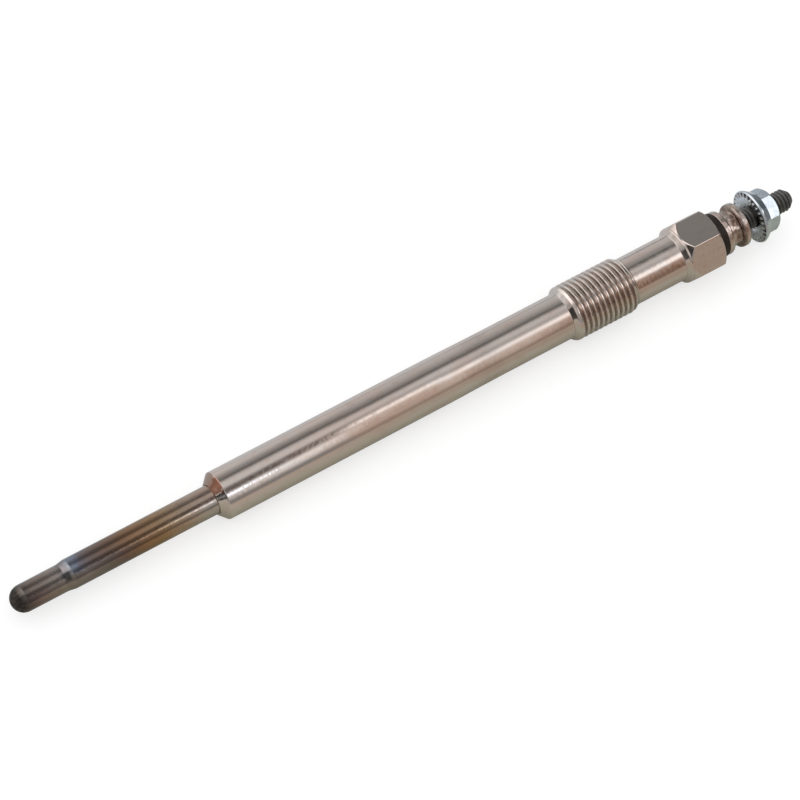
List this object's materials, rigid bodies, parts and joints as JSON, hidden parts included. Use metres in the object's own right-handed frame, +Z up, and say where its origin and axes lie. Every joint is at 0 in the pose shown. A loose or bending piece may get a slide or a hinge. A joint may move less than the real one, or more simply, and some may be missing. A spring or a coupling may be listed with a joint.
{
  "type": "diesel glow plug",
  "caption": "Slim sheathed diesel glow plug: rod tip, long steel body with fine thread and hexagon, insulated threaded terminal with round nut and flange nut.",
  "frame": {"origin": "centre of the length and width, at the height of the hexagon's lower flat", "axes": "+X along the plug from the glow tip to the terminal, +Z up, a hexagon flat faces down"},
  "size_m": [0.1524, 0.0116, 0.01],
  "materials": {
    "nickel_body": "nickel-plated turned steel, warm satin with fine turning rings",
    "heat_tinted_tube": "nickel alloy tube with straw, brown and blue temper colours",
    "heater_wire": "bare resistance wire",
    "control_wire": "bare nickel wire",
    "magnesia": "pressed white powder",
    "black_rod": "blackened steel",
    "seal_rubber": "matte rubber",
    "black_insulator": "black moulded plastic, slightly glossy",
    "nickel_nut": "nickel-plated, dented by crimping",
    "zinc_nut": "bright zinc plating"
  },
  "bodies": {
    "root": {"plug_body": "nickel_body", "glow_tube": "heat_tinted_tube", "heating_coil": "heater_wire", "control_coil": "control_wire", "magnesia_filling": "magnesia", "centre_rod": "black_rod", "tube_seal": "seal_rubber", "body_seal": "seal_rubber", "insulating_bush": "black_insulator", "round_nut": "nickel_nut", "terminal_nut": "zinc_nut"}
  },
  "joints": []
}
